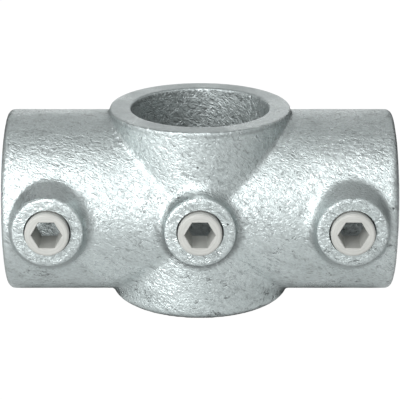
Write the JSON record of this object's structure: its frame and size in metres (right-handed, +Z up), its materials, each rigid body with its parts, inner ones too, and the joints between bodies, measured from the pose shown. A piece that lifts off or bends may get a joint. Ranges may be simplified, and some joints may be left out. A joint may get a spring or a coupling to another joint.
{
  "type": "cross tube clamp fitting",
  "caption": "Cast cross fitting that clamps an upright tube and level tubes on both sides with hexagon-socket set screws in round bosses.",
  "frame": {"origin": "point where the upright sleeve's axis crosses the sockets' common axis", "axes": "+Z up the upright sleeve, +X along the right socket, set screws face -Y"},
  "size_m": [0.1212, 0.0629, 0.0606],
  "materials": {
    "zinc_casting": "hot-dip galvanised, lightly wrinkled",
    "screw_steel": "turned, pale case-hardened and plated"
  },
  "bodies": {
    "casting": {"cross_body": "zinc_casting"},
    "left_screw": {"left_set_screw": "screw_steel"},
    "centre_screw": {"centre_set_screw": "screw_steel"},
    "right_screw": {"right_set_screw": "screw_steel"}
  },
  "joints": [
    {"name": "left_screw_travel", "type": "slide", "parent": "casting", "child": "left_screw", "axis": [0, 1, 0], "range_m": [-0.006, 0.0022]},
    {"name": "centre_screw_travel", "type": "slide", "parent": "casting", "child": "centre_screw", "axis": [0, 1, 0], "range_m": [-0.006, 0.0022]},
    {"name": "right_screw_travel", "type": "slide", "parent": "casting", "child": "right_screw", "axis": [0, 1, 0], "range_m": [-0.006, 0.0022]}
  ]
}
